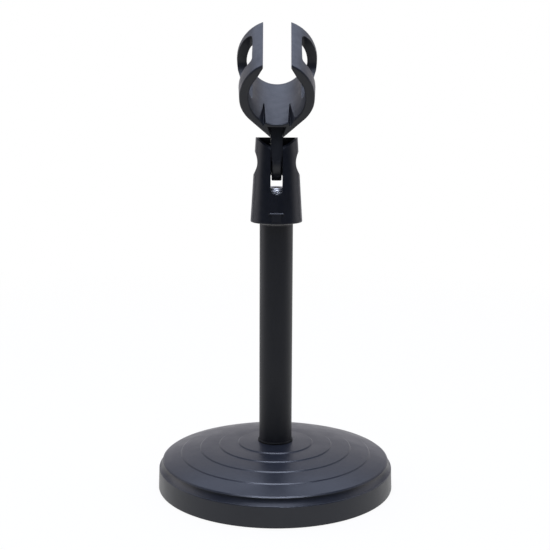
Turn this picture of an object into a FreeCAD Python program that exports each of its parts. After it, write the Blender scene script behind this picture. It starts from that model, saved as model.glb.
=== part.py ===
import FreeCAD, Part
import math
import os
from FreeCAD import Vector

# Desktop stand with a weighted round foot, a straight column, a forked holder that screws on to
# the top of the column, and a C-shaped spring clip that tilts in the fork.
# Millimetres. The origin is the centre of the foot on the table, +Z is up, +Y is the way the
# wide end of the clip points, and -X/+X are the two sides.

# Foot -------------------------------------------------------------------------------------
FOOT_R = 65.0                  # widest radius, at the lower edge of the side wall
RIM_R = 64.6                   # radius of the ledge at the top of the side wall
RIM_Z = 11.6
COVER_BOTTOM_Z = 0.3           # the rubber feet hold the cover this far off the table
RIM_ROUND = 0.5
COVE_MID = (62.8, 13.15)       # radius and height halfway round the cove above the ledge
COVE_UNDERCUT = 0.6            # the cove starts this far in under the edge of the dome
DOME_EDGE_R = 62.6             # outer edge of the domed top, above the cove
DOME_EDGE_Z = 15.9
DOME_TOP_Z = 25.1
DOME_BEVEL = (0.8, 0.6)        # width and drop of the bevel round the edge of the dome
DOME_POWER = 2.4               # the dome falls away as the radius to this power
TERRACES = 4                   # low steps in the dome
TERRACE_PITCH = 10.6
TERRACE_STEP = 0.5
TERRACE_RUN = 0.7              # each step slopes down over this width
ZONE_CROWN = 0.12              # each band between two steps bulges this much
EDGE_ROUND = 0.4
COVER_WALL = 2.6
COVER_DRAFT = 2.2              # the inside opens out by this much towards the table
COVER_BOSS_R = 14.0
COVER_BOSS_DRAFT = 1.0
COVER_BOSS_Z = 20.6            # underside of the boss, where the weight stops
BOLT_HOLE_R = 5.4

WEIGHT_R = 58.0
WEIGHT_TOP_R = 18.0
WEIGHT_CHAMFER = 1.0
WEIGHT_EDGE_Z = 12.8
WEIGHT_BOTTOM_Z = 5.0
COUNTERBORE_R = 14.5
COUNTERBORE_Z = 14.0

PLATE_R = 61.6
PLATE_HOLE_R = 16.0
PLATE_BOTTOM_Z = 2.0
PLATE_T = 1.5
PLATE_SCREWS = 4
PLATE_SCREW_PITCH_R = 44.0
PLATE_SCREW_R = 2.0
PLATE_SCREW_HEAD_R = 3.8
PLATE_SCREW_HEAD_T = 1.1
PLATE_SCREW_FACE_R = 3.0       # flat face of the head, inside its rounded edge
PLATE_SCREW_EDGE = (3.55, 0.8) # radius and depth below the plate, halfway round that edge
PLATE_SCREW_CROSS = (4.8, 0.8, 0.6)    # length, width and depth of the cross in the head
PLATE_SCREW_END_Z = 10.0

FEET = 4
FEET_PITCH_R = 52.0
FEET_R = 6.5
FEET_ROUND = 0.5
FEET_DRAFT = 0.3
FEET_STEM_R = 2.4
FEET_STEM_TOP_Z = 4.6
FEET_STEM_CHAMFER = 0.8

# Column -----------------------------------------------------------------------------------
BOLT_R = 5.0                   # M10 bolt through the foot into the column's lower plug
BOLT_END_Z = 46.0
BOLT_CHAMFER = 1.0
BOLT_HEAD_T = 6.4
BOLT_HEAD_FLATS = 17.0
BOLT_SOCKET_FLATS = 8.0
BOLT_SOCKET_DEPTH = 4.0
BOLT_WASHER_R = 10.5
BOLT_WASHER_T = 2.0
SPRING_WASHER_R = 8.9
SPRING_WASHER_T = 2.2
SPRING_WASHER_GAP = 1.2
FOOT_RING_R = 9.6
FOOT_RING_T = 1.2
TUBE_R = 9.0
TUBE_WALL = 1.5
TUBE_TOP_Z = 146.0
PLUG_CLEARANCE = 0.02
PLUG_LENGTH = 26.0

# Thread at the top of the column: 5/8 inch, 27 turns to the inch ---------------------------
STUD_R = 7.94
THREAD_PITCH = 25.4 / 27
THREAD_DEPTH = 0.5
THREAD_CREST = (0.4, 0.6)      # where the flat crest starts and ends, as parts of the pitch
STUD_FLANGE_T = 0.8
STUD_PLUG_LENGTH = 18.0
STUD_TOP_Z = 166.3
STUD_NECK_R = 7.2
STUD_NECK_H = 1.2              # plain neck between the flange and the first groove
STUD_BORE_R = 3.2
RING_T = 0.7                   # thin washer between the column and the holder
RING_BORE_R = 8.2

# Forked holder ----------------------------------------------------------------------------
HOLDER_BOTTOM_Z = 147.7
HOLDER_BOTTOM_R = 14.0
HOLDER_TOP_Z = 192.8
HOLDER_TOP_R = 11.2
HOLDER_ROUND = 0.7
PIVOT_Z = 179.2
EAR_R = HOLDER_TOP_Z - PIVOT_Z # the ears are rounded about the pivot
SLOT_W = 6.4
SLOT_BOTTOM_Z = 163.1
RECESS_R = 6.3                 # round recess in the outside of each ear
RECESS_FLOOR_X = 6.3
POCKET_X = 3.0                 # pocket in the top of each ear, open upwards and to the slot
POCKET_BOTTOM_Z = 181.5
PIVOT_BOSS_R = 8.0             # wall left round the recess, inside the pocket
EAR_SKIN = 1.2
EAR_RIB_T = 1.4                # rib across the pocket, along the ridge of the ear
PAD_W = 4.8                    # small raised blank pad on the front
PAD_LOW_Z = 149.0
PAD_HIGH_Z = 153.85
PAD_PROUD = 0.15
PAD_LIP_W = 8.2                # lip with rounded ends and chamfered edges, along the pad's top edge
PAD_LIP_T = 1.2
PAD_LIP_PROUD = 0.7
PAD_LIP_CHAMFER = 0.55
INSERT_R = 9.6                 # threaded metal insert in the underside of the holder
INSERT_BORE_R = 8.0
INSERT_BOTTOM_Z = 148.3
INSERT_TOP_Z = 162.6
INSERT_LEAD_IN = 0.6
WELL_R = 8.4                   # well in the slot's floor; the stud's tip stands up in it
WELL_TOP_Z = 167.0

# Pivot hardware, M5 -----------------------------------------------------------------------
PIVOT_R = 2.5
PIVOT_CLEARANCE = 0.06
PIVOT_CHAMFER = 0.5
PIVOT_WASHER_R = 5.2
PIVOT_WASHER_T = 0.8
PIVOT_HEAD_R = 4.4
PIVOT_HEAD_T = 2.7
PIVOT_HEAD_SIDE_T = 0.8        # straight part of the head's side, below its domed top
PIVOT_HEAD_CORNER = (0.9, 0.75)        # the dome passes this far in from the head's square corner
PIVOT_HEAD_FACE_R = 2.1
PIVOT_SOCKET_FLATS = 3.0
PIVOT_SOCKET_DEPTH = 1.6
PIVOT_NUT_FLATS = 8.0
PIVOT_NUT_T = 2.7
PIVOT_TAIL = 0.4               # how far the screw shows past the nut
FRICTION_WASHER_R = 6.6
FRICTION_WASHER_T = 0.4
FRICTION_WASHER_SET = 0.05     # clearance on each face of a friction washer

# Clip. Built level, with the pivot at the origin and the bore along +Y, then tilted ----------
CLIP_TILT = 24.0               # degrees, wide end up
AXIS_H = 39.5                  # bore axis above the pivot
NEAR_Y = -5.0                  # narrow end
FAR_Y = 49.0                   # wide end
LAND_END_Y = 9.0               # the bore is a plain cylinder from the narrow end to here
NEAR_R = 19.4
FAR_R = 22.1
NEAR_BORE_R = 14.6
FAR_BORE_R = 16.8
FLOOR_FAR_R = 15.3             # the floor of the bore thickens to this radius at the wide end
FLOOR_HALF_ANGLE = 62.0
FLOOR_BITE = 0.3               # depth of the thickening inside the tube's wall
CLIP_ROUND = 1.1
MOUTH_NEAR_W = 14.2            # slit along the top, where the microphone is pressed in
MOUTH_FAR_W = 15.2
PRONG_TIP_T = 1.7              # the prongs thin towards the slit
PRONG_BEVEL_ANGLE = 50.0       # degrees from the top of the bore, where the thinning starts
WINDOW_NEAR_Y = 7.8            # side windows, cut straight across
WINDOW_FAR_Y = 43.5
WINDOW_LOW = -7.0              # from the bore axis
WINDOW_HIGH = 18.0
WINDOW_INNER_X = 13.0          # the strips beside the slit keep their full section out to here
WINDOW_NEAR_ROUND = 4.5
WINDOW_FAR_ROUND = 9.5
WINDOW_INNER_ROUND = 2.0
GROOVE_X = 7.0                 # two tapering V grooves along the floor of the bore
GROOVE_END_X = 6.9
GROOVE_END_Y = 17.5
GROOVE_W = 3.4
GROOVE_END_W = 0.5
GROOVE_BOTTOM = -15.8          # from the bore axis
GROOVE_END_BOTTOM = -14.9
GROOVE_TOP = -6.0              # the cut carries on up into the open bore as far as this
LUG_R = 9.4
LUG_ROUND = 0.8
LUG_T = 5.4
NECK_T = 6.3                   # the neck nearly fills the slot, above the friction washers
NECK_LOW = 7.2
NECK_HALF_Y = 7.6
NECK_INTO_WEB = 2.0
KEEL_LOW = 17.5                # the underside of the clip is a V keel that starts at this height
KEEL_SLOPE = 1.06              # half-width gained per millimetre of height
KEEL_CURVE = (-12.4, (16.75, -8.5), (18.95, -4.1))   # from the axis: rounds the V into the tube
KEEL_REACH = 30.0              # outside the tube
WEB_HIGH = 23.5                # the web is buried in the tube's wall at this height
WEB_FAR_Y = 20.0               # the web under the tube runs back from the neck to here
WEB_DROP = 1.0
WEB_RISE = 3.0                 # how much higher the web's underside is at its far end
THROAT_LOW = (-7.8, 5.2)       # hollow in front of the neck: it starts tangent to the lug here,
THROAT_BACK = (2.4, 20.3)      # and runs straight back up to here, under the floor of the bore
THROAT_TOP = 23.6
THROAT_FLARE = 18.0            # it is as wide as the neck up to here, and then widens
THROAT_TOP_HALF = 5.0

# Fits -------------------------------------------------------------------------------------
LOOSE_FIT = 0.15               # radial clearance where a screw passes through a washer or plate
CLOSE_FIT = 0.03               # radial clearance of stems and of threads drawn as plain holes
TAP_RUNOUT = 0.5
OVERLAP = 1.0                  # shapes that are joined or cut run this far past each other

UP = Vector(0, 0, 1)
ORIGIN = Vector(0, 0, 0)
X_AXIS = Vector(1, 0, 0)
Y_AXIS = Vector(0, 1, 0)
PIVOT = Vector(0, 0, PIVOT_Z)


# Helpers ----------------------------------------------------------------------------------
def outline(start, steps, place):
    """Closed wire. A step is (a, b) for a line, or ((a, b), (a, b)) for an arc through a point."""
    edges = []
    here = place(*start)
    for step in steps + [start]:
        if isinstance(step[0], tuple):
            end = place(*step[1])
            edges.append(Part.Arc(here, place(*step[0]), end).toShape())
        else:
            end = place(*step)
            if end.distanceToPoint(here) > 1e-6:
                edges.append(Part.makeLine(here, end))
        here = end
    return Part.Wire(edges)


def in_xz(x, z):
    return Vector(x, 0, z)


def in_yz(y, z):
    return Vector(0, y, z)


def turned(start, steps):
    """Solid of revolution about the Z axis from an outline of (radius, height)."""
    face = Part.Face(outline(start, steps, in_xz))
    return face.revolve(ORIGIN, UP, 360)


def cylinder(radius, low, high):
    return Part.makeCylinder(radius, high - low, Vector(0, 0, low), UP)


def ring(outer, inner, low, high):
    return cylinder(outer, low, high).cut(cylinder(inner, low, high))


def box(x, y, z):
    """Box from three (low, high) pairs."""
    size = [high - low for low, high in (x, y, z)]
    return Part.makeBox(size[0], size[1], size[2], Vector(x[0], y[0], z[0]))


def hexagon(flats, low, high):
    corner_r = flats / math.sqrt(3)
    corners = [Vector(corner_r * math.cos(math.radians(60 * k)),
                      corner_r * math.sin(math.radians(60 * k)), low) for k in range(6)]
    face = Part.Face(Part.makePolygon(corners + corners[:1]))
    return face.extrude(Vector(0, 0, high - low))


def prism(wire, axis):
    """Solid with this section, running FAR_R each way from the wire's plane."""
    solid = Part.Face(wire).extrude(axis * (2 * FAR_R))
    solid.translate(axis * -FAR_R)
    return solid


def around(shape, count, pitch_r, first_angle=45.0):
    """Copies of a shape spaced evenly on a circle about the Z axis."""
    copies = []
    for k in range(count):
        angle = math.radians(first_angle + 360.0 * k / count)
        copy = shape.copy()
        copy.translate(Vector(pitch_r * math.cos(angle), pitch_r * math.sin(angle), 0))
        copies.append(copy)
    return copies


def on_pivot(shape, side):
    """Turn a shape built along +Z so that it lies along the pivot, out towards side * X."""
    shape.rotate(ORIGIN, Y_AXIS, 90.0 * side)
    shape.translate(PIVOT)
    return shape


# Foot -------------------------------------------------------------------------------------
def dome_z(radius):
    return DOME_TOP_Z - (DOME_TOP_Z - DOME_EDGE_Z) * (radius / DOME_EDGE_R) ** DOME_POWER


def under_dome(radius):
    """Radius and height of a point on the inside of the dome."""
    return radius, dome_z(radius) - TERRACE_STEP - COVER_WALL


def base_cover():
    """Moulded shell: side wall, ledge, cove and a dome with low sloped terraces."""
    rim_corner = RIM_ROUND * (1 - math.sqrt(0.5))
    bevel_width, bevel_drop = DOME_BEVEL
    cove_top_z = DOME_EDGE_Z - 2 * EDGE_ROUND
    steps = [
        (RIM_R, RIM_Z - RIM_ROUND),
        ((RIM_R - rim_corner, RIM_Z - rim_corner), (RIM_R - RIM_ROUND, RIM_Z)),
        (COVE_MID, (DOME_EDGE_R - COVE_UNDERCUT, cove_top_z)),
        (DOME_EDGE_R, cove_top_z),
        (DOME_EDGE_R, DOME_EDGE_Z - bevel_drop),
        (DOME_EDGE_R - bevel_width, DOME_EDGE_Z),
    ]
    outer_r = DOME_EDGE_R - bevel_width
    outer_z = DOME_EDGE_Z
    for k in range(1, TERRACES + 1):
        inner_r = DOME_EDGE_R - k * TERRACE_PITCH
        foot_r = inner_r + TERRACE_RUN
        foot_z = dome_z(inner_r) - TERRACE_STEP
        middle = ((outer_r + foot_r) / 2, (outer_z + foot_z) / 2 + ZONE_CROWN)
        steps.append((middle, (foot_r, foot_z)))
        steps.append((inner_r, dome_z(inner_r)))
        outer_r = inner_r
        outer_z = dome_z(inner_r)
    inside_r = DOME_EDGE_R - COVER_WALL
    steps += [
        (FOOT_RING_R, DOME_TOP_Z),
        (BOLT_HOLE_R, DOME_TOP_Z),
        (BOLT_HOLE_R, COVER_BOSS_Z),
        (COVER_BOSS_R, COVER_BOSS_Z),
        under_dome(COVER_BOSS_R + COVER_BOSS_DRAFT),
        under_dome(DOME_EDGE_R - 2 * TERRACE_PITCH),
        (inside_r, DOME_EDGE_Z - COVER_WALL),
        (inside_r + COVER_DRAFT, COVER_BOTTOM_Z),
    ]
    return turned((FOOT_R, COVER_BOTTOM_Z), steps)


def base_weight():
    """Cast disc under the dome, counterbored for the column bolt, with tapped holes."""
    body = turned((BOLT_HOLE_R, COUNTERBORE_Z), [
        (COUNTERBORE_R, COUNTERBORE_Z),
        (COUNTERBORE_R, WEIGHT_BOTTOM_Z),
        (WEIGHT_R - WEIGHT_CHAMFER, WEIGHT_BOTTOM_Z),
        (WEIGHT_R, WEIGHT_BOTTOM_Z + WEIGHT_CHAMFER),
        (WEIGHT_R, WEIGHT_EDGE_Z),
        (WEIGHT_TOP_R, COVER_BOSS_Z),
        (BOLT_HOLE_R, COVER_BOSS_Z),
    ])
    hole = cylinder(PLATE_SCREW_R + CLOSE_FIT, WEIGHT_BOTTOM_Z - OVERLAP, PLATE_SCREW_END_Z + TAP_RUNOUT)
    return body.cut(Part.Compound(around(hole, PLATE_SCREWS, PLATE_SCREW_PITCH_R, 0.0)))


def bottom_plate():
    """Sheet disc that closes the underside, with holes for screws, feet and the bolt head."""
    top_z = PLATE_BOTTOM_Z + PLATE_T
    plate = ring(PLATE_R, PLATE_HOLE_R, PLATE_BOTTOM_Z, top_z)
    screw_holes = around(cylinder(PLATE_SCREW_R + LOOSE_FIT, PLATE_BOTTOM_Z, top_z),
                         PLATE_SCREWS, PLATE_SCREW_PITCH_R, 0.0)
    stem_holes = around(cylinder(FEET_STEM_R + CLOSE_FIT, PLATE_BOTTOM_Z, top_z), FEET, FEET_PITCH_R)
    return plate.cut(Part.Compound(screw_holes + stem_holes))


def plate_screws():
    """The screws that hold the bottom plate to the weight, as separate solids in one group."""
    low_z = PLATE_BOTTOM_Z - PLATE_SCREW_HEAD_T
    edge_r, edge_depth = PLATE_SCREW_EDGE
    head = turned((0, PLATE_BOTTOM_Z), [
        (0, low_z),
        (PLATE_SCREW_FACE_R, low_z),
        ((edge_r, PLATE_BOTTOM_Z - edge_depth), (PLATE_SCREW_HEAD_R, PLATE_BOTTOM_Z)),
    ])
    screw = head.fuse(cylinder(PLATE_SCREW_R, PLATE_BOTTOM_Z, PLATE_SCREW_END_Z)).removeSplitter()
    length, width, depth = PLATE_SCREW_CROSS
    for angle in (0, 90):
        slot = box((-length / 2, length / 2), (-width / 2, width / 2), (low_z - OVERLAP, low_z + depth))
        slot.rotate(ORIGIN, UP, angle)
        screw = screw.cut(slot)
    return Part.Compound(around(screw, PLATE_SCREWS, PLATE_SCREW_PITCH_R, 0.0))


def rubber_feet():
    """Push-in feet: a pad under the plate and a stem through it."""
    corner = FEET_ROUND * (1 - math.sqrt(0.5))
    foot = turned((0, 0), [
        (FEET_R - FEET_ROUND, 0),
        ((FEET_R - corner, corner), (FEET_R, FEET_ROUND)),
        (FEET_R - FEET_DRAFT, PLATE_BOTTOM_Z),
        (FEET_STEM_R, PLATE_BOTTOM_Z),
        (FEET_STEM_R, FEET_STEM_TOP_Z - FEET_STEM_CHAMFER),
        (FEET_STEM_R - FEET_STEM_CHAMFER, FEET_STEM_TOP_Z),
        (0, FEET_STEM_TOP_Z),
    ])
    return around(foot, FEET, FEET_PITCH_R)


# Column -----------------------------------------------------------------------------------
TUBE_BOTTOM_Z = DOME_TOP_Z + FOOT_RING_T
TUBE_BORE_R = TUBE_R - TUBE_WALL
BOLT_HEAD_TOP_Z = COUNTERBORE_Z - BOLT_WASHER_T - SPRING_WASHER_T
STUD_FLANGE_TOP_Z = TUBE_TOP_Z + STUD_FLANGE_T


def column_bolt():
    """Hexagon bolt from below, up through the weight and cover into the column's plug."""
    low_z = BOLT_HEAD_TOP_Z - BOLT_HEAD_T
    head = hexagon(BOLT_HEAD_FLATS, low_z, BOLT_HEAD_TOP_Z)
    shank = turned((0, BOLT_HEAD_TOP_Z), [
        (BOLT_R, BOLT_HEAD_TOP_Z),
        (BOLT_R, BOLT_END_Z - BOLT_CHAMFER),
        (BOLT_R - BOLT_CHAMFER, BOLT_END_Z),
        (0, BOLT_END_Z),
    ])
    return head.fuse(shank).cut(hexagon(BOLT_SOCKET_FLATS, low_z, low_z + BOLT_SOCKET_DEPTH))


def column_washer():
    return ring(BOLT_WASHER_R, BOLT_R + LOOSE_FIT, COUNTERBORE_Z - BOLT_WASHER_T, COUNTERBORE_Z)


def column_spring_washer():
    """Split ring under the bolt head."""
    top_z = BOLT_HEAD_TOP_Z + SPRING_WASHER_T
    washer = ring(SPRING_WASHER_R, BOLT_R + LOOSE_FIT, BOLT_HEAD_TOP_Z, top_z)
    split = box((0, SPRING_WASHER_R + OVERLAP), (-SPRING_WASHER_GAP / 2, SPRING_WASHER_GAP / 2),
                (BOLT_HEAD_TOP_Z, top_z))
    return washer.cut(split)


def foot_ring():
    """Gasket ring between the dome and the column."""
    corner = EDGE_ROUND * (1 - math.sqrt(0.5))
    return turned((BOLT_HOLE_R, DOME_TOP_Z), [
        (FOOT_RING_R, DOME_TOP_Z),
        (FOOT_RING_R, TUBE_BOTTOM_Z - EDGE_ROUND),
        ((FOOT_RING_R - corner, TUBE_BOTTOM_Z - corner), (FOOT_RING_R - EDGE_ROUND, TUBE_BOTTOM_Z)),
        (BOLT_HOLE_R, TUBE_BOTTOM_Z),
    ])


def column_tube():
    return ring(TUBE_R, TUBE_BORE_R, TUBE_BOTTOM_Z, TUBE_TOP_Z)


def tube_plug():
    """Tapped plug in the foot of the column."""
    plug_r = TUBE_BORE_R - PLUG_CLEARANCE
    return ring(plug_r, BOLT_R + CLOSE_FIT, TUBE_BOTTOM_Z, TUBE_BOTTOM_Z + PLUG_LENGTH)


def top_stud():
    """Plug in the top of the column, with a flange and the threaded stud above it."""
    steps = [
        (TUBE_BORE_R - PLUG_CLEARANCE, TUBE_TOP_Z - STUD_PLUG_LENGTH),
        (TUBE_BORE_R - PLUG_CLEARANCE, TUBE_TOP_Z),
        (TUBE_R, TUBE_TOP_Z),
        (TUBE_R, STUD_FLANGE_TOP_Z),
        (STUD_NECK_R, STUD_FLANGE_TOP_Z),
    ]
    thread_start_z = STUD_FLANGE_TOP_Z + STUD_NECK_H
    crest_start, crest_end = THREAD_CREST
    turns = int((STUD_TOP_Z - thread_start_z) / THREAD_PITCH)
    for k in range(turns):
        root_z = thread_start_z + k * THREAD_PITCH
        steps.append((STUD_R - THREAD_DEPTH, root_z))
        steps.append((STUD_R, root_z + crest_start * THREAD_PITCH))
        steps.append((STUD_R, root_z + crest_end * THREAD_PITCH))
    steps += [
        (STUD_NECK_R, STUD_TOP_Z),
        (STUD_BORE_R, STUD_TOP_Z),
    ]
    return turned((STUD_BORE_R, TUBE_TOP_Z - STUD_PLUG_LENGTH), steps)


def stud_ring():
    """Thin washer that the holder seats on."""
    return ring(TUBE_R, RING_BORE_R, STUD_FLANGE_TOP_Z, STUD_FLANGE_TOP_Z + RING_T)


# Holder -----------------------------------------------------------------------------------
def holder_r(z):
    fall = (HOLDER_BOTTOM_R - HOLDER_TOP_R) / (HOLDER_TOP_Z - HOLDER_BOTTOM_Z)
    return HOLDER_BOTTOM_R - fall * (z - HOLDER_BOTTOM_Z)


def holder_cone(skin, low_z, high_z):
    """The holder's outer cone, drawn in by skin."""
    return Part.makeCone(holder_r(low_z) - skin, holder_r(high_z) - skin, high_z - low_z,
                         Vector(0, 0, low_z), UP)


def holder_body():
    """Tapered body with a fork at the top: slot, rounded ears, side recesses and top pockets."""
    round_r = holder_r(HOLDER_BOTTOM_Z)
    corner = HOLDER_ROUND * (1 - math.sqrt(0.5))
    body = turned((0, HOLDER_BOTTOM_Z), [
        (round_r - HOLDER_ROUND, HOLDER_BOTTOM_Z),
        ((round_r - corner, HOLDER_BOTTOM_Z + corner),
         (holder_r(HOLDER_BOTTOM_Z + HOLDER_ROUND), HOLDER_BOTTOM_Z + HOLDER_ROUND)),
        (holder_r(HOLDER_TOP_Z), HOLDER_TOP_Z),
        (0, HOLDER_TOP_Z),
    ])
    reach = HOLDER_BOTTOM_R + OVERLAP
    ear_round = Part.makeCylinder(EAR_R, 2 * reach, Vector(-reach, 0, PIVOT_Z), X_AXIS)
    below = box((-reach, reach), (-reach, reach), (HOLDER_BOTTOM_Z, PIVOT_Z))
    body = body.common(ear_round.fuse(below))

    slot_round_z = SLOT_BOTTOM_Z + SLOT_W / 2
    slot = box((-SLOT_W / 2, SLOT_W / 2), (-reach, reach), (slot_round_z, HOLDER_TOP_Z + OVERLAP))
    slot_floor = Part.makeCylinder(SLOT_W / 2, 2 * reach, Vector(0, -reach, slot_round_z), Y_AXIS)
    cuts = [slot, slot_floor, cylinder(INSERT_R, HOLDER_BOTTOM_Z, INSERT_TOP_Z),
            cylinder(WELL_R, INSERT_TOP_Z, WELL_TOP_Z)]
    cuts.append(on_pivot(cylinder(PIVOT_R + PIVOT_CLEARANCE, -reach, reach), 1))
    for side in (-1, 1):
        cuts.append(on_pivot(cylinder(RECESS_R, RECESS_FLOOR_X, reach), side))
        near_x, far_x = sorted((side * POCKET_X, side * reach))
        pocket = box((near_x, far_x), (-reach, reach), (POCKET_BOTTOM_Z, HOLDER_TOP_Z))
        pocket = pocket.common(holder_cone(EAR_SKIN, POCKET_BOTTOM_Z, HOLDER_TOP_Z))
        pocket = pocket.cut(on_pivot(cylinder(PIVOT_BOSS_R, 0, reach), side))
        rib = box((-reach, reach), (-EAR_RIB_T / 2, EAR_RIB_T / 2), (POCKET_BOTTOM_Z, HOLDER_TOP_Z))
        cuts.append(pocket.cut(rib))
    for cut in cuts:
        body = body.cut(cut)
    return body.fuse(front_pad()).removeSplitter()


def front_pad():
    """Low blank pad on the front of the holder, with a chamfered lip along its top edge."""
    back_y = -(INSERT_R + OVERLAP)
    pad_y = -(holder_r(PAD_LOW_Z) + PAD_PROUD)
    pad = box((-PAD_W / 2, PAD_W / 2), (pad_y, back_y), (PAD_LOW_Z, PAD_HIGH_Z - PAD_LIP_T / 2))
    lip_y = -(holder_r(PAD_HIGH_Z) + PAD_LIP_PROUD)
    lip_r = PAD_LIP_T / 2
    lip_z = PAD_HIGH_Z - lip_r
    lip_half = PAD_LIP_W / 2 - lip_r
    lip_front = outline((-lip_half, lip_z - lip_r), [
        (lip_half, lip_z - lip_r),
        ((lip_half + lip_r, lip_z), (lip_half, lip_z + lip_r)),
        (-lip_half, lip_z + lip_r),
        ((-lip_half - lip_r, lip_z), (-lip_half, lip_z - lip_r)),
    ], in_xz)
    lip = Part.Face(lip_front).extrude(Vector(0, back_y - lip_y, 0))
    lip.translate(Vector(0, lip_y, 0))
    front_edges = [edge for edge in lip.Edges if edge.BoundBox.YMax < lip_y + PAD_LIP_CHAMFER / 2]
    return pad.fuse(lip.makeChamfer(PAD_LIP_CHAMFER, front_edges))


def thread_insert():
    """Round metal insert with the female thread, moulded into the underside of the holder."""
    insert = ring(INSERT_R, INSERT_BORE_R, INSERT_BOTTOM_Z, INSERT_TOP_Z)
    lead_in = Part.makeCone(INSERT_BORE_R + INSERT_LEAD_IN, INSERT_BORE_R, INSERT_LEAD_IN,
                            Vector(0, 0, INSERT_BOTTOM_Z), UP)
    return insert.cut(lead_in)


# Pivot hardware ---------------------------------------------------------------------------
PIVOT_SEAT_X = RECESS_FLOOR_X + PIVOT_WASHER_T


def pivot_screw():
    """Socket screw along the pivot, with its head in the +X recess."""
    top_x = PIVOT_SEAT_X + PIVOT_HEAD_T
    end_x = -(PIVOT_SEAT_X + PIVOT_NUT_T + PIVOT_TAIL)
    in_r, in_x = PIVOT_HEAD_CORNER
    screw = turned((0, end_x), [
        (PIVOT_R - PIVOT_CHAMFER, end_x),
        (PIVOT_R, end_x + PIVOT_CHAMFER),
        (PIVOT_R, PIVOT_SEAT_X),
        (PIVOT_HEAD_R, PIVOT_SEAT_X),
        (PIVOT_HEAD_R, PIVOT_SEAT_X + PIVOT_HEAD_SIDE_T),
        ((PIVOT_HEAD_R - in_r, top_x - in_x), (PIVOT_HEAD_FACE_R, top_x)),
        (0, top_x),
    ])
    return on_pivot(screw.cut(hexagon(PIVOT_SOCKET_FLATS, top_x - PIVOT_SOCKET_DEPTH, top_x)), 1)


def pivot_washer(side):
    return on_pivot(ring(PIVOT_WASHER_R, PIVOT_R + LOOSE_FIT, RECESS_FLOOR_X, PIVOT_SEAT_X), side)


def pivot_nut():
    """Plain nut in the -X recess."""
    high_x = PIVOT_SEAT_X + PIVOT_NUT_T
    nut = hexagon(PIVOT_NUT_FLATS, PIVOT_SEAT_X, high_x)
    return on_pivot(nut.cut(cylinder(PIVOT_R + CLOSE_FIT, PIVOT_SEAT_X, high_x)), -1)


def friction_washer(side):
    """Thin ring between an ear of the fork and the clip's lug."""
    outer_x = SLOT_W / 2 - FRICTION_WASHER_SET
    washer = ring(FRICTION_WASHER_R, PIVOT_R + LOOSE_FIT, outer_x - FRICTION_WASHER_T, outer_x)
    return on_pivot(washer, side)


# Clip -------------------------------------------------------------------------------------
def along_bore(shape):
    """Turn a shape built along +Z so that it lies along the level clip's bore."""
    shape.rotate(ORIGIN, X_AXIS, -90)
    shape.translate(Vector(0, 0, AXIS_H))
    return shape


def clip_tube():
    """Thick conical tube with rounded ends; the bore starts as a plain cylinder."""
    corner = CLIP_ROUND * (1 - math.sqrt(0.5))
    tube = turned((NEAR_BORE_R + CLIP_ROUND, NEAR_Y), [
        (NEAR_R - CLIP_ROUND, NEAR_Y),
        ((NEAR_R - corner, NEAR_Y + corner), (NEAR_R, NEAR_Y + CLIP_ROUND)),
        (FAR_R, FAR_Y - CLIP_ROUND),
        ((FAR_R - corner, FAR_Y - corner), (FAR_R - CLIP_ROUND, FAR_Y)),
        (FAR_BORE_R + CLIP_ROUND, FAR_Y),
        ((FAR_BORE_R + corner, FAR_Y - corner), (FAR_BORE_R, FAR_Y - CLIP_ROUND)),
        (NEAR_BORE_R, LAND_END_Y),
        (NEAR_BORE_R, NEAR_Y + CLIP_ROUND),
        ((NEAR_BORE_R + corner, NEAR_Y + corner), (NEAR_BORE_R + CLIP_ROUND, NEAR_Y)),
    ])
    return along_bore(tube)


def mouth_section(y, mouth_w, outer_r, bore_r):
    """Section of the slit at one end. It opens out inside, which thins the prongs to a tip."""
    half = mouth_w / 2
    tip = math.sqrt(outer_r ** 2 - half ** 2) - PRONG_TIP_T
    bevel = math.radians(PRONG_BEVEL_ANGLE)
    inner = (bore_r * math.sin(bevel), bore_r * math.cos(bevel))
    right = [inner, (half, tip), (half, outer_r + OVERLAP)]
    points = right + [(-x, z) for x, z in reversed(right)] + [(0, 0)]
    corners = [Vector(x, y, AXIS_H + z) for x, z in points]
    return Part.makePolygon(corners + corners[:1])


def mouth():
    near = mouth_section(NEAR_Y - OVERLAP, MOUTH_NEAR_W, NEAR_R, NEAR_BORE_R)
    far = mouth_section(FAR_Y + OVERLAP, MOUTH_FAR_W, FAR_R, FAR_BORE_R)
    return Part.makeLoft([near, far], True, True)


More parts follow.
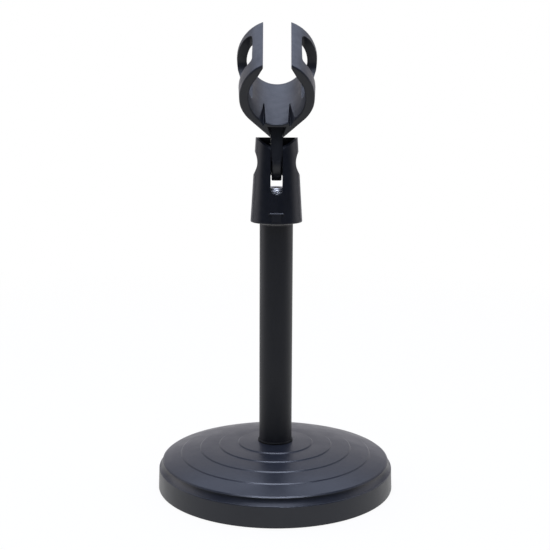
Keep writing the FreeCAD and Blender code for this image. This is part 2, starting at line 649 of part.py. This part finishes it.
def side_windows():
    """One opening in each side, rounded in side view. Above the axis it stops at the strips."""
    low = AXIS_H + WINDOW_LOW
    high = AXIS_H + WINDOW_HIGH
    near_r, far_r = WINDOW_NEAR_ROUND, WINDOW_FAR_ROUND
    near_in, far_in = (radius * (1 - math.sqrt(0.5)) for radius in (near_r, far_r))
    side_view = outline((WINDOW_NEAR_Y, low + near_r), [
        ((WINDOW_NEAR_Y + near_in, low + near_in), (WINDOW_NEAR_Y + near_r, low)),
        (WINDOW_FAR_Y - far_r, low),
        ((WINDOW_FAR_Y - far_in, low + far_in), (WINDOW_FAR_Y, low + far_r)),
        (WINDOW_FAR_Y, high - far_r),
        ((WINDOW_FAR_Y - far_in, high - far_in), (WINDOW_FAR_Y - far_r, high)),
        (WINDOW_NEAR_Y + near_r, high),
        ((WINDOW_NEAR_Y + near_in, high - near_in), (WINDOW_NEAR_Y, high - near_r)),
    ], in_yz)
    lower_half = box((-2 * FAR_R, 2 * FAR_R), (NEAR_Y, FAR_Y), (low, AXIS_H))
    windows = prism(side_view, X_AXIS).common(lower_half)
    for side in (-1, 1):
        upper = Part.Face(side_view).extrude(X_AXIS * (side * FAR_R))
        inner_edges = [edge for edge in upper.Edges if edge.BoundBox.XLength < 1e-6
                       and abs(edge.BoundBox.XMin) < 1e-6]
        upper = upper.makeFillet(WINDOW_INNER_ROUND, inner_edges)
        upper.translate(X_AXIS * (side * WINDOW_INNER_X))
        windows = windows.fuse(upper)
    return windows


def floor_pad():
    """Thickening of the floor of the bore that grows towards the wide end."""
    length = FAR_Y - CLIP_ROUND - LAND_END_Y
    start = Vector(0, 0, LAND_END_Y)
    outer = Part.makeCone(NEAR_BORE_R + FLOOR_BITE, FAR_BORE_R + FLOOR_BITE, length, start, UP)
    inner = Part.makeCone(NEAR_BORE_R, FLOOR_FAR_R, length, start, UP)
    edge = math.radians(FLOOR_HALF_ANGLE)
    wedge = outline((0, AXIS_H), [
        (2 * FAR_R * math.sin(edge), AXIS_H - 2 * FAR_R * math.cos(edge)),
        (-2 * FAR_R * math.sin(edge), AXIS_H - 2 * FAR_R * math.cos(edge)),
    ], in_xz)
    wedge = Part.Face(wedge).extrude(Y_AXIS * (2 * FAR_Y))
    return along_bore(outer.cut(inner)).common(wedge)


def groove_section(y, x, width, bottom):
    """V section, its sides carried on up into the bore at the same slope."""
    depth = -bottom - math.sqrt(NEAR_BORE_R ** 2 - x ** 2)
    top = width / 2 * (GROOVE_TOP - bottom) / depth
    top_z = AXIS_H + GROOVE_TOP
    corners = [Vector(x, y, AXIS_H + bottom), Vector(x + top, y, top_z), Vector(x - top, y, top_z)]
    return Part.makePolygon(corners + corners[:1])


def floor_groove(side):
    """Tapering groove in the floor of the bore, beside the middle strip."""
    near = groove_section(NEAR_Y - OVERLAP, side * GROOVE_X, GROOVE_W, GROOVE_BOTTOM)
    far = groove_section(GROOVE_END_Y, side * GROOVE_END_X, GROOVE_END_W, GROOVE_END_BOTTOM)
    return Part.makeLoft([near, far], True, True)


def bore_space():
    """Everything inside the bore, to trim the web with."""
    length = FAR_Y - CLIP_ROUND - LAND_END_Y
    taper = Part.makeCone(NEAR_BORE_R, FAR_BORE_R, length, Vector(0, 0, LAND_END_Y), UP)
    return along_bore(taper.fuse(cylinder(NEAR_BORE_R, NEAR_Y, LAND_END_Y)))


def keel_section(y, scale):
    """Section that bounds the underside of the tube: a V, rounded into the tube at its top."""
    half = NECK_T / 2
    low = KEEL_LOW - AXIS_H
    start_z, middle, end = KEEL_CURVE
    start_x = half + (start_z - low) * KEEL_SLOPE

    def at(x, z):
        return Vector(x * scale, y, AXIS_H + z * scale)

    return outline((-half, low), [
        (half, low),
        (start_x, start_z),
        (middle, end),
        (KEEL_REACH, end[1]),
        (KEEL_REACH, KEEL_REACH),
        (-KEEL_REACH, KEEL_REACH),
        (-KEEL_REACH, end[1]),
        (-end[0], end[1]),
        ((-middle[0], middle[1]), (-start_x, start_z)),
    ], at)


def keel():
    near = keel_section(NEAR_Y - OVERLAP, 1.0)
    far = keel_section(FAR_Y + OVERLAP, FAR_R / NEAR_R)
    return Part.makeLoft([near, far], True, True)


def clip_stem():
    """Flat round lug for the pivot, its neck, and the web that joins it to the tube."""
    lug = Part.makeCylinder(LUG_R, LUG_T, Vector(-LUG_T / 2, 0, 0), X_AXIS)
    rims = [edge for edge in lug.Edges if edge.BoundBox.XLength < 1e-6]
    lug = lug.makeFillet(LUG_ROUND, rims)
    neck_y = (-NECK_HALF_Y, NECK_HALF_Y)
    neck_top = KEEL_LOW + NECK_INTO_WEB
    thin = box((-LUG_T / 2, LUG_T / 2), neck_y, (0, neck_top))
    thick = box((-NECK_T / 2, NECK_T / 2), neck_y, (NECK_LOW, neck_top))
    web_side = outline((NEAR_Y, WEB_HIGH), [
        (NEAR_Y, KEEL_LOW - WEB_DROP),
        (NECK_HALF_Y, KEEL_LOW - WEB_DROP),
        (WEB_FAR_Y, KEEL_LOW + WEB_RISE),
        (WEB_FAR_Y, WEB_HIGH),
    ], in_yz)
    return lug.fuse([thin, thick, keel().common(prism(web_side, X_AXIS))])


def throat():
    """Hollow in front of the neck. It leans back from the lug to a roof under the bore's lip."""
    low = THROAT_LOW[1]
    ahead = NEAR_Y - LUG_R
    half = NECK_T / 2
    side_view = outline((ahead, low), [
        THROAT_LOW,
        THROAT_BACK,
        (NEAR_Y, THROAT_TOP),
        (ahead, THROAT_TOP),
    ], in_yz)
    front_view = outline((-half, low), [
        (half, low),
        (half, THROAT_FLARE),
        (THROAT_TOP_HALF, THROAT_TOP),
        (-THROAT_TOP_HALF, THROAT_TOP),
        (-half, THROAT_FLARE),
    ], in_xz)
    return prism(side_view, X_AXIS).common(prism(front_view, Y_AXIS))


def clip_cradle():
    """C-shaped spring clip, level, then tilted about the pivot and set in the fork."""
    clip = clip_tube().common(keel()).fuse(clip_stem())
    hole = Part.makeCylinder(PIVOT_R + PIVOT_CLEARANCE, 2 * NECK_T, Vector(-NECK_T, 0, 0), X_AXIS)
    clip = clip.cut(bore_space()).fuse(floor_pad())
    for cut in (throat(), mouth(), side_windows(), floor_groove(-1), floor_groove(1), hole):
        clip = clip.cut(cut)
    clip = clip.removeSplitter()
    clip.rotate(ORIGIN, X_AXIS, CLIP_TILT)
    clip.translate(PIVOT)
    return clip


# All nodes --------------------------------------------------------------------------------
def build():
    nodes = {
        "base_cover": base_cover(),
        "base_weight": base_weight(),
        "bottom_plate": bottom_plate(),
        "plate_screws": plate_screws(),
        "column_bolt": column_bolt(),
        "column_washer": column_washer(),
        "column_spring_washer": column_spring_washer(),
        "foot_ring": foot_ring(),
        "column_tube": column_tube(),
        "tube_plug": tube_plug(),
        "top_stud": top_stud(),
        "stud_ring": stud_ring(),
        "holder_body": holder_body(),
        "thread_insert": thread_insert(),
        "pivot_screw": pivot_screw(),
        "pivot_screw_washer": pivot_washer(1),
        "pivot_nut": pivot_nut(),
        "pivot_nut_washer": pivot_washer(-1),
        "friction_washer_left": friction_washer(-1),
        "friction_washer_right": friction_washer(1),
        "clip_cradle": clip_cradle(),
    }
    for number, foot in enumerate(rubber_feet(), start=1):
        nodes["rubber_foot_%d" % number] = foot
    return nodes


os.makedirs("parts", exist_ok=True)
for name, shape in build().items():
    shape.exportStep("parts/%s.step" % name)
    report = (name, len(shape.Solids), shape.Volume, shape.isValid())
    print("%-24s solids %d  volume %9.1f  valid %s" % report)
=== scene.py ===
import math

import bmesh
import bpy
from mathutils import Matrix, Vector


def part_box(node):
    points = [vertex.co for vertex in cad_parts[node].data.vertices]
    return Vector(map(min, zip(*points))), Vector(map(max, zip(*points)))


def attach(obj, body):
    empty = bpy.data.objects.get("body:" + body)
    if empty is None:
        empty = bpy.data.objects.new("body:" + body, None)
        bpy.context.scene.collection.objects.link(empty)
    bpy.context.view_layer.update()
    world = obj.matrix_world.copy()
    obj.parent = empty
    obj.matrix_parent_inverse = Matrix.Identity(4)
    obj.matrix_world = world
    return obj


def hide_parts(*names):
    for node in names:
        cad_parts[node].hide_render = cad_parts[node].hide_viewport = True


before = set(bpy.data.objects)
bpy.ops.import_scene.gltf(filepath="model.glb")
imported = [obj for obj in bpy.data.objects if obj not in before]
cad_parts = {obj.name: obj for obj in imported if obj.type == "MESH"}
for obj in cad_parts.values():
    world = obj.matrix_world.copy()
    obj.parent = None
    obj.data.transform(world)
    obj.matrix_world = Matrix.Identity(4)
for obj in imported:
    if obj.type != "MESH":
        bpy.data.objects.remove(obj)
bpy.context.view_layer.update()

# Desktop stand: weighted round foot, black column, forked holder and a C-shaped spring clip.
# Metres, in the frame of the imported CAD. Sizes in the finishes are in millimetres.
MM = 0.001

# Camera ---------------------------------------------------------------------------------
CAMERA_PLACE = (-0.0006, -0.575, 0.2177)
CAMERA_DOWN = 9.79             # degrees below level
CAMERA_ROLL = 0.25             # degrees
CAMERA_LENS = 70.23            # for the default 36 mm sensor

# Light ----------------------------------------------------------------------------------
BACKDROP_WHITE = 1.0           # what the camera sees behind the object
ROOM_COLOUR = (0.040, 0.046, 0.064, 1.0)   # what the object sees of the room between the lights
COOL_LIGHT = (0.72, 0.79, 1.0)
NEUTRAL_LIGHT = (1.0, 0.965, 1.0)
FLOOR_GLOW = 0.93              # share of the floor's white that is its own, so that shadows stay faint
FLOOR_IN_GLOSS = 0.85          # the floor's brightness in the object's reflections
FLOOR_R = 1.2
FLOOR_SIDES = 96
FLOOR_TONES = (0.93, 0.96)     # the paper's faint unevenness
FLOOR_PATCH = 300              # millimetres
FLOOR_GAP = 0.0002             # the floor lies this far below the feet
FLOOR_FADE = (0.30, 0.75)      # radii between which the floor turns into the backdrop

# Finishes in general ------------------------------------------------------------------------
BEVEL_SAMPLES = 6
EDGE_TURN = (0.80, 0.995)      # cosine between rounded and flat normal: edges fully paled, and not paled, by rubbed wear and a painted edge highlight
GREEN_SHARE = 0.25             # green follows a tint towards blue by this share of it
TURNED_STRETCH = 60            # machining lines are drawn out this much round the axis
TURNED_ROUGHNESS = (-0.06, 0.08)   # their spread round a metal's own roughness
SOFT_CONTRAST = 1.6            # lightest over darkest level of rubber and nylon
NOISE_SPAN = (0.3, 0.7)        # most values of a noise texture lie between these
MIX_SOCKETS = (0, 6, 7)        # the Mix node's amount and two colours
MIX_RESULT = 2

# Threaded stud ----------------------------------------------------------------------------
INCH = 0.0254
THREAD_PITCH = INCH / 27
THREAD_DEPTH = 0.5 * MM
THREAD_FLANK = 2.5             # slope of the flanks; anything over 2 leaves a flat on the crest
THREAD_SIDES = 96
ROWS_PER_TURN = 10
STUD_FLANGE_T = 0.8 * MM
STUD_NECK_H = 1.2 * MM
STUD_NECK_R = 7.2 * MM
STUD_PLUG_H = 18.0 * MM
STUD_BORE_R = 3.2 * MM
STUD_R = 7.94 * MM
STUD_PLUG_R = 7.48 * MM
STUD_TIP_CHAMFER = 0.7 * MM
STUD_PLUG_CHAMFER = 0.5 * MM
STUD_BORE_CHAMFER = 0.4 * MM
PAINT_EDGE = 0.1 * MM          # the column's paint ends this far above the stud's flange
SMOOTH_BELOW = 35              # degrees: sharper bends of the lathe's profile stay crisp


# Node helpers -----------------------------------------------------------------------------
def add(tree, kind, inputs=(), **settings):
    """A node. Each input is a plain value, or another node's output to link from."""
    node = tree.nodes.new(kind)
    for key, value in settings.items():
        setattr(node, key, value)
    for key, value in dict(inputs).items():
        if isinstance(value, bpy.types.NodeSocket):
            tree.links.new(value, node.inputs[key])
        else:
            node.inputs[key].default_value = value
    return node


def placed(tree, size_mm, stretch=(1, 1, 1)):
    """Object coordinates scaled so that one unit is size_mm, drawn out along an axis by stretch."""
    place = add(tree, "ShaderNodeTexCoord").outputs["Object"]
    scale = [1 / (size_mm * MM * s) for s in stretch]
    return add(tree, "ShaderNodeMapping", {"Vector": place, "Scale": scale}).outputs["Vector"]


def noise(tree, size_mm, detail=2.0, stretch=(1, 1, 1)):
    """Soft noise from 0 to 1, with features about size_mm across."""
    inputs = {"Vector": placed(tree, size_mm, stretch), "Scale": 1.0, "Detail": detail}
    return add(tree, "ShaderNodeTexNoise", inputs).outputs["Fac"]


def grains(tree, size_mm):
    """Distance to the middle of the nearest of many random grains about size_mm across."""
    inputs = {"Vector": placed(tree, size_mm), "Scale": 1.0}
    return add(tree, "ShaderNodeTexVoronoi", inputs).outputs["Distance"]


def remap(tree, value, low, high, start=NOISE_SPAN[0], end=NOISE_SPAN[1]):
    """Value moved from the span start..end to low..high, and held inside it."""
    inputs = {"Value": value, "From Min": start, "From Max": end, "To Min": low, "To Max": high}
    return add(tree, "ShaderNodeMapRange", inputs).outputs["Result"]


def mixed(tree, amount, first, second):
    """Colour between two colours. Each may be a plain colour or another node's output."""
    node = add(tree, "ShaderNodeMix", data_type="RGBA")
    for index, value in zip(MIX_SOCKETS, (amount, first, second)):
        if isinstance(value, bpy.types.NodeSocket):
            tree.links.new(value, node.inputs[index])
        else:
            node.inputs[index].default_value = value
    return node.outputs[MIX_RESULT]


def bumped(tree, height, depth_mm, under=None):
    """Normal raised by height, from 0 to depth_mm, on top of another normal if there is one."""
    inputs = {"Height": height, "Distance": depth_mm * MM, "Strength": 1.0}
    if under is not None:
        inputs["Normal"] = under
    return add(tree, "ShaderNodeBump", inputs).outputs["Normal"]


def rounded(tree, radius_mm):
    """Normal that rounds off sharp edges."""
    bevel = add(tree, "ShaderNodeBevel", {"Radius": radius_mm * MM}, samples=BEVEL_SAMPLES)
    return bevel.outputs["Normal"]


def rubbed_and_highlit_edge(tree, edge_normal):
    """From 0 on a flat face to 1 on an edge, where handling rubs the surface and where an edge highlight is
    painted.
    """
    face = add(tree, "ShaderNodeNewGeometry").outputs["Normal"]
    node = add(tree, "ShaderNodeVectorMath", operation="DOT_PRODUCT")
    tree.links.new(edge_normal, node.inputs[0])
    tree.links.new(face, node.inputs[1])
    return remap(tree, node.outputs["Value"], 1.0, 0.0, *EDGE_TURN)


def worn_and_highlit(tree, edge_normal, share, colour, bare_and_highlit):
    """Colour paled on the edges towards the paler colour given, by at most share: rubbed wear together with
    a painted edge highlight.
    """
    amount = remap(tree, rubbed_and_highlit_edge(tree, edge_normal), 0.0, share, start=0.0, end=1.0)
    return mixed(tree, amount, colour, bare_and_highlit)


def grey(level, blue=1.0):
    """A dark or light neutral, turned a little towards blue."""
    return (level, level * (1 + GREEN_SHARE * (blue - 1)), level * blue, 1.0)


def new_finish(name, metallic=0.0, specular=0.5, ior=1.5):
    material = bpy.data.materials.new(name)
    material.use_nodes = True
    shader = material.node_tree.nodes["Principled BSDF"]
    shader.inputs["Metallic"].default_value = metallic
    shader.inputs["Specular IOR Level"].default_value = specular
    shader.inputs["IOR"].default_value = ior
    return material, material.node_tree, shader


def finish_with(tree, shader, colour, roughness, normal):
    tree.links.new(colour, shader.inputs["Base Color"])
    tree.links.new(roughness, shader.inputs["Roughness"])
    tree.links.new(normal, shader.inputs["Normal"])


# Finishes ---------------------------------------------------------------------------------
def cover_black():
    """Satin powder coat on the foot: fine orange peel and a light dusting of paler specks."""
    material, tree, shader = new_finish("cover_black", specular=0.45)
    edge = rounded(tree, 0.2)
    patches = noise(tree, 28, detail=3)
    specks = remap(tree, grains(tree, 0.55), 1.0, 0.0, start=0.05, end=0.30)
    colour = mixed(tree, patches, grey(0.013, 1.7), grey(0.018, 1.7))
    dusting = remap(tree, specks, 0.0, 0.25, start=0.0, end=1.0)
    colour = mixed(tree, dusting, colour, grey(0.030, 1.4))
    # paler edges: rubbed wear and a painted edge highlight
    colour = worn_and_highlit(tree, edge, 0.35, colour, grey(0.06, 1.15))
    roughness = remap(tree, noise(tree, 9, detail=4), 0.30, 0.38)
    peel = bumped(tree, noise(tree, 0.9, detail=2), 0.020, edge)
    normal = bumped(tree, grains(tree, 0.30), 0.012, peel)
    finish_with(tree, shader, colour, roughness, normal)
    return material


def tube_black():
    """Satin powder coat on the column, a little smoother and blacker than the foot."""
    material, tree, shader = new_finish("tube_black", specular=0.35)
    edge = rounded(tree, 0.3)
    colour = mixed(tree, noise(tree, 14, detail=3), grey(0.004, 2.2), grey(0.006, 2.2))
    # paler edges: rubbed wear and a painted edge highlight
    colour = worn_and_highlit(tree, edge, 0.3, colour, grey(0.05))
    roughness = remap(tree, noise(tree, 6, detail=4, stretch=(1, 1, 4)), 0.36, 0.46)
    peel = bumped(tree, noise(tree, 0.8, detail=2), 0.016, edge)
    finish_with(tree, shader, colour, roughness, bumped(tree, grains(tree, 0.28), 0.008, peel))
    return material


def holder_black():
    """Moulded nylon of the holder: fine spark-eroded grain, with edges paled by rubbing and by a painted
    edge highlight.
    """
    material, tree, shader = new_finish("holder_black", specular=0.30)
    edge = rounded(tree, 0.08)
    colour = mixed(tree, noise(tree, 7, detail=3), grey(0.004, 2.6), grey(0.006, 2.6))
    # paler edges: rubbed wear and a painted edge highlight
    colour = worn_and_highlit(tree, edge, 0.4, colour, grey(0.06, 1.1))
    roughness = remap(tree, noise(tree, 3, detail=4), 0.30, 0.40)
    grain = bumped(tree, noise(tree, 0.35, detail=3), 0.022, edge)
    finish_with(tree, shader, colour, roughness, bumped(tree, grains(tree, 0.18), 0.008, grain))
    return material


def clip_black():
    """Flexible clip plastic: softer and paler than the holder, with faint flow marks."""
    material, tree, shader = new_finish("clip_black", specular=0.40)
    edge = rounded(tree, 0.5)
    flow = noise(tree, 12, detail=2, stretch=(1, 1.6, 1))
    colour = mixed(tree, flow, grey(0.013, 1.5), grey(0.016, 1.5))
    # paler edges: rubbed wear and a painted edge highlight
    colour = worn_and_highlit(tree, edge, 0.35, colour, grey(0.07, 1.08))
    roughness = remap(tree, noise(tree, 5, detail=4), 0.34, 0.44)
    grain = bumped(tree, noise(tree, 0.45, detail=3), 0.022, edge)
    finish_with(tree, shader, colour, roughness, bumped(tree, grains(tree, 0.22), 0.010, grain))
    return material


def soft_black(name, level, size_mm):
    """Moulded rubber or nylon, matt, with a fine random grain."""
    material, tree, shader = new_finish(name, specular=0.35)
    edge = rounded(tree, 0.2)
    colour = mixed(tree, noise(tree, 4, detail=3), grey(level), grey(level * SOFT_CONTRAST))
    roughness = remap(tree, noise(tree, 2, detail=3), 0.62, 0.80)
    finish_with(tree, shader, colour, roughness, bumped(tree, noise(tree, size_mm, detail=3), 0.03, edge))
    return material


def turned_metal(name, dark, light, roughness, axis):
    """Machined metal: fine lines round the part's axis, and slightly uneven plating."""
    material, tree, shader = new_finish(name, metallic=1.0)
    drawn = TURNED_STRETCH
    stretch = (1, drawn, drawn) if axis == "X" else (drawn, drawn, 1)
    edge = rounded(tree, 0.12)
    lines = noise(tree, 0.12, detail=2, stretch=stretch)
    colour = mixed(tree, noise(tree, 3, detail=3), grey(dark), grey(light))
    smoother, rougher = TURNED_ROUGHNESS
    rough = remap(tree, lines, roughness + smoother, roughness + rougher)
    finish_with(tree, shader, colour, rough, bumped(tree, lines, 0.006, edge))
    return material


def cast_iron():
    """Cast weight inside the foot, with the coarse skin of a sand casting."""
    material, tree, shader = new_finish("cast_weight", metallic=0.6)
    colour = mixed(tree, noise(tree, 5, detail=5), grey(0.06), grey(0.13))
    roughness = remap(tree, noise(tree, 2, detail=4), 0.60, 0.85)
    skin = bumped(tree, noise(tree, 1.2, detail=5), 0.12)
    finish_with(tree, shader, colour, roughness, skin)
    return material


def painted_plate():
    """Painted sheet steel that closes the foot, with faint rolling lines under the paint."""
    material, tree, shader = new_finish("plate_black", specular=0.45)
    colour = mixed(tree, noise(tree, 18, detail=4), grey(0.014), grey(0.024))
    roughness = remap(tree, noise(tree, 6, detail=4), 0.42, 0.58)
    rolled = bumped(tree, noise(tree, 0.8, detail=3, stretch=(30, 1, 1)), 0.010, rounded(tree, 0.2))
    finish_with(tree, shader, colour, roughness, bumped(tree, noise(tree, 0.7, detail=2), 0.018, rolled))
    return material


def floor_white():
    """Pale studio floor that turns into the white backdrop away from the object."""
    material = bpy.data.materials.new("studio_floor")
    material.use_nodes = True
    tree = material.node_tree
    tree.nodes.clear()
    darker, lighter = FLOOR_TONES
    tone = mixed(tree, noise(tree, FLOOR_PATCH, detail=2), grey(darker), grey(lighter))
    paper = add(tree, "ShaderNodeBsdfDiffuse", {"Color": tone})
    glow = add(tree, "ShaderNodeEmission", {"Color": grey(BACKDROP_WHITE), "Strength": 1.0})
    place = add(tree, "ShaderNodeTexCoord").outputs["Object"]
    length = add(tree, "ShaderNodeVectorMath", operation="LENGTH")
    tree.links.new(place, length.inputs[0])
    fade = remap(tree, length.outputs["Value"], FLOOR_GLOW, 1.0, *FLOOR_FADE)
    seen = add(tree, "ShaderNodeMixShader", {0: fade, 1: paper.outputs[0], 2: glow.outputs[0]})
    bounced = add(tree, "ShaderNodeEmission", {"Color": tone, "Strength": FLOOR_IN_GLOSS})
    direct = add(tree, "ShaderNodeLightPath").outputs["Is Camera Ray"]
    surface = add(tree, "ShaderNodeMixShader", {0: direct, 1: bounced.outputs[0], 2: seen.outputs[0]})
    add(tree, "ShaderNodeOutputMaterial", {"Surface": surface.outputs[0]})
    return material


# Pieces -----------------------------------------------------------------------------------
def saw(turns):
    """Thread profile: 0 at the root and 1 over the flat of the crest, which comes once in each turn."""
    part = turns % 1.0
    return min(1.0, THREAD_FLANK * (0.5 - abs(part - 0.5)))


def lathe(name, rows):
    """Closed surface of revolution from a loop of rows. A row gives its height and a radius for an angle."""
    mesh = bmesh.new()
    loops = []
    for height, radius in rows:
        loop = []
        for k in range(THREAD_SIDES):
            angle = 2 * math.pi * k / THREAD_SIDES
            r = radius(angle)
            loop.append(mesh.verts.new((r * math.cos(angle), r * math.sin(angle), height)))
        loops.append(loop)
    for i, loop in enumerate(loops):
        above = loops[(i + 1) % len(loops)]
        for k in range(THREAD_SIDES):
            n = (k + 1) % THREAD_SIDES
            mesh.faces.new((loop[k], loop[n], above[n], above[k]))
    bmesh.ops.recalc_face_normals(mesh, faces=mesh.faces)
    data = bpy.data.meshes.new(name)
    mesh.to_mesh(data)
    mesh.free()
    piece = bpy.data.objects.new(name, data)
    bpy.context.scene.collection.objects.link(piece)
    for face in data.polygons:
        face.use_smooth = True
    data.set_sharp_from_angle(angle=math.radians(SMOOTH_BELOW))
    return piece


def plain_row(height, radius):
    return height, lambda angle: radius


def thread_row(height, crest, depth, start, end):
    """A row of helical thread. Over the first and last turn it rises out of the plain root."""
    fade = max(0.0, min(1.0, (height - start) / THREAD_PITCH, (end - height) / THREAD_PITCH))

    def radius(angle):
        level = saw(height / THREAD_PITCH - angle / (2 * math.pi))
        return crest - depth * (1 - fade * level)

    return height, radius


def threaded_stud():
    """The stud at the top of the column, with a real helical thread and a chamfered tip."""
    low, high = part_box("top_stud")
    flange_z = low.z + STUD_PLUG_H
    thread_z = flange_z + STUD_FLANGE_T + STUD_NECK_H
    tip_z = high.z - STUD_TIP_CHAMFER
    rows = [
        plain_row(low.z, STUD_BORE_R),
        plain_row(low.z, STUD_PLUG_R - STUD_PLUG_CHAMFER),
        plain_row(low.z + STUD_PLUG_CHAMFER, STUD_PLUG_R),
        plain_row(flange_z, STUD_PLUG_R),
        plain_row(flange_z, high.x),
        plain_row(flange_z + STUD_FLANGE_T, high.x),
        plain_row(flange_z + STUD_FLANGE_T, STUD_NECK_R),
        plain_row(thread_z, STUD_NECK_R),
    ]
    count = int(ROWS_PER_TURN * (tip_z - thread_z) / THREAD_PITCH)
    for k in range(count):
        z = thread_z + (tip_z - thread_z) * (k + 1) / count
        rows.append(thread_row(z, STUD_R, THREAD_DEPTH, thread_z, tip_z))
    rows += [
        plain_row(high.z, STUD_R - THREAD_DEPTH - STUD_TIP_CHAMFER / 2),
        plain_row(high.z, STUD_BORE_R + STUD_BORE_CHAMFER),
        plain_row(high.z - STUD_BORE_CHAMFER, STUD_BORE_R),
    ]
    return lathe("stud_with_thread", rows)


# Scene ------------------------------------------------------------------------------------
def put_finish(name, material):
    """Give a CAD node this finish in all its material slots."""
    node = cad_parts[name]
    if not node.material_slots:
        node.data.materials.append(material)
    for material_slot in node.material_slots:
        material_slot.material = material


def make_camera():
    data = bpy.data.cameras.new("camera")
    data.lens = CAMERA_LENS
    camera = bpy.data.objects.new("camera", data)
    camera.location = CAMERA_PLACE
    camera.rotation_mode = "ZYX"
    camera.rotation_euler = (math.radians(90 - CAMERA_DOWN), 0, math.radians(CAMERA_ROLL))
    bpy.context.scene.collection.objects.link(camera)
    bpy.context.scene.camera = camera


def soft_light(name, place, aim, size, power, colour):
    """Rectangular softbox at place, facing aim."""
    data = bpy.data.lights.new(name, "AREA")
    data.shape = "RECTANGLE"
    data.size, data.size_y = size
    data.energy = power
    data.color = colour
    light = bpy.data.objects.new(name, data)
    light.location = place
    direction = light.location.copy()
    direction.x, direction.y, direction.z = (aim[i] - place[i] for i in range(3))
    light.rotation_euler = direction.to_track_quat("-Z", "Y").to_euler()
    light.visible_camera = False
    bpy.context.scene.collection.objects.link(light)


def make_lights():
    soft_light("top", (0, -0.05, 1.0), (0, 0, 0), (0.50, 0.40), 7.0, COOL_LIGHT)
    soft_light("front_top", (0, -0.52, 0.94), (0, 0, 0.12), (0.70, 0.50), 3.2, COOL_LIGHT)
    soft_light("high_back", (0, 0.74, 1.05), (0, 0, 0.10), (1.5, 0.5), 4.7, COOL_LIGHT)
    soft_light("mid_back", (0, 1.15, 0.62), (0, 0, 0.15), (2.2, 0.5), 2.1, NEUTRAL_LIGHT)
    soft_light("back", (0, 1.3, 0.10), (0, 0, 0.10), (2.4, 0.55), 3.5, NEUTRAL_LIGHT)
    soft_light("left", (-0.95, 0.25, 0.40), (0, 0, 0.12), (0.7, 0.9), 2.6, NEUTRAL_LIGHT)
    soft_light("right", (0.95, 0.25, 0.40), (0, 0, 0.12), (0.7, 0.9), 2.1, NEUTRAL_LIGHT)


def make_world():
    """White behind the object, and an even dark room for its reflections."""
    world = bpy.data.worlds.new("studio")
    world.use_nodes = True
    tree = world.node_tree
    tree.nodes.clear()
    seen = add(tree, "ShaderNodeLightPath").outputs["Is Camera Ray"]
    colour = mixed(tree, seen, ROOM_COLOUR, grey(BACKDROP_WHITE))
    background = add(tree, "ShaderNodeBackground", {"Color": colour, "Strength": 1.0})
    output = add(tree, "ShaderNodeOutputWorld")
    tree.links.new(background.outputs[0], output.inputs["Surface"])
    bpy.context.scene.world = world


def make_floor():
    mesh = bmesh.new()
    bmesh.ops.create_circle(mesh, cap_ends=True, segments=FLOOR_SIDES, radius=FLOOR_R)
    data = bpy.data.meshes.new("studio_floor")
    mesh.to_mesh(data)
    mesh.free()
    floor = bpy.data.objects.new("studio_floor", data)
    floor.location.z = -FLOOR_GAP
    data.materials.append(floor_white())
    bpy.context.scene.collection.objects.link(floor)


make_camera()
make_world()
make_lights()
make_floor()

FINISHES = {
    cover_black(): ["base_cover"],
    tube_black(): ["column_tube"],
    holder_black(): ["holder_body"],
    clip_black(): ["clip_cradle"],
    soft_black("ring_rubber", 0.004, 0.4): ["foot_ring"],
    soft_black("washer_nylon", 0.016, 0.5): ["friction_washer_left", "friction_washer_right"],
    turned_metal("dull_steel", 0.22, 0.30, 0.42, "Z"): ["stud_ring"],
    soft_black("foot_rubber", 0.012, 0.6): ["rubber_foot_%d" % k for k in (1, 2, 3, 4)],
    turned_metal("turned_steel", 0.42, 0.55, 0.28, "Z"): ["thread_insert", "tube_plug"],
    turned_metal("nickel", 0.60, 0.74, 0.24, "X"): ["pivot_screw", "pivot_screw_washer", "pivot_nut",
                                                   "pivot_nut_washer"],
    turned_metal("zinc_steel", 0.45, 0.60, 0.34, "Z"): ["plate_screws", "column_bolt", "column_washer",
                                                       "column_spring_washer"],
    cast_iron(): ["base_weight"],
    painted_plate(): ["bottom_plate"],
}
for finish, names in FINISHES.items():
    for node_name in names:
        put_finish(node_name, finish)

stud = threaded_stud()
stud.data.materials.append(turned_metal("stud_steel", 0.70, 0.82, 0.34, "Z"))
stud.data.materials.append(bpy.data.materials["tube_black"])
flange_top_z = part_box("column_tube")[1].z + STUD_FLANGE_T
for face in stud.data.polygons:
    if face.center.z < flange_top_z + PAINT_EDGE:
        face.material_index = 1
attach(stud, "stand")
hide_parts("top_stud")

bpy.context.scene.view_settings.view_transform = "Standard"
bpy.context.view_layer.update()
